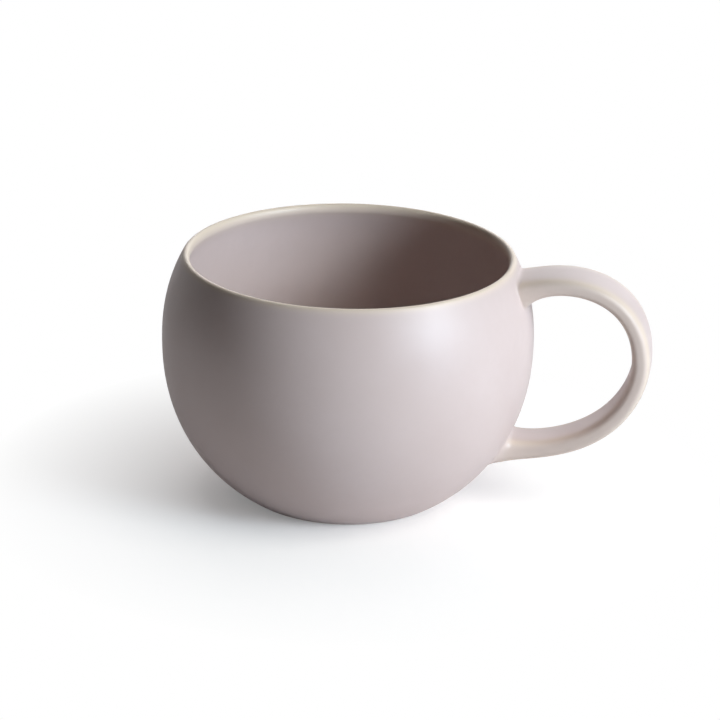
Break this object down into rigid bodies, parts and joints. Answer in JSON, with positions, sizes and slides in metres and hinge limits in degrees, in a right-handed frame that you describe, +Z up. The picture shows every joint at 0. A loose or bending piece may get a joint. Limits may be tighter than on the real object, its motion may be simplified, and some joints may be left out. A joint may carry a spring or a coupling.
{
  "type": "coffee cup",
  "caption": "Round-bellied glazed porcelain coffee cup with a drawn-in rounded rim, a turned foot ring and a strap handle stuck on at shoulder and base.",
  "frame": {"origin": "on the table, under the middle of the cup's whole length, handle included", "axes": "+Z up along the cup's axis, +X towards the handle, +Y to the cup's left side seen from behind the handle"},
  "size_m": [0.1186, 0.09, 0.0604],
  "materials": {
    "glazed_body": "satin glaze",
    "glazed_handle": "satin glaze",
    "slip_joint": "satin glaze over wiped slip"
  },
  "bodies": {
    "root": {"cup_body": "glazed_body", "handle": "glazed_handle", "upper_slip_joint": "slip_joint", "lower_slip_joint": "slip_joint"}
  },
  "joints": []
}
